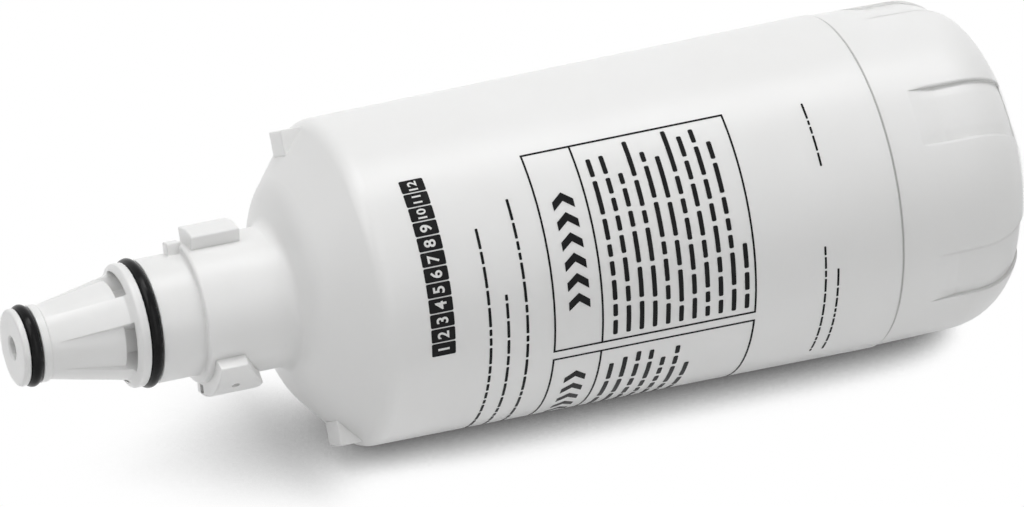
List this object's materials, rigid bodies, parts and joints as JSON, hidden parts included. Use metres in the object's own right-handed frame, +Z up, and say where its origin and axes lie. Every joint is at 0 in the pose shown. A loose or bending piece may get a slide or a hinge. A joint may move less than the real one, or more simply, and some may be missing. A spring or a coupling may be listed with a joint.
{
  "type": "fridge water filter cartridge",
  "caption": "White round twist-in water filter cartridge: drafted tank, conical shoulder, bayonet neck with black seals, ribbed nozzle and rounded grip end cap.",
  "frame": {"origin": "on the cartridge's axis, at the flat foot of the end cap that it stands on", "axes": "+Z up the axis from the end cap to the nozzle; -Y is the side with the printed panels; +X is the side with the key pad"},
  "size_m": [0.0766, 0.0766, 0.232],
  "materials": {
    "white_plastic": "semi-gloss moulded white polypropylene",
    "seal_rubber": "smooth black rubber with a thin film of grease",
    "activated_carbon": "pressed activated carbon, dull and grainy",
    "nonwoven_fleece": "white nonwoven fleece",
    "element_plastic": "natural moulded polypropylene"
  },
  "bodies": {
    "root": {"filter_tank": "white_plastic", "end_cap": "white_plastic", "neck_o_ring": "seal_rubber", "nozzle_o_ring": "seal_rubber", "carbon_block": "activated_carbon", "prefilter_wrap": "nonwoven_fleece", "element_top_cap": "element_plastic", "element_bottom_cap": "element_plastic", "stem_o_ring": "seal_rubber"}
  },
  "joints": []
}
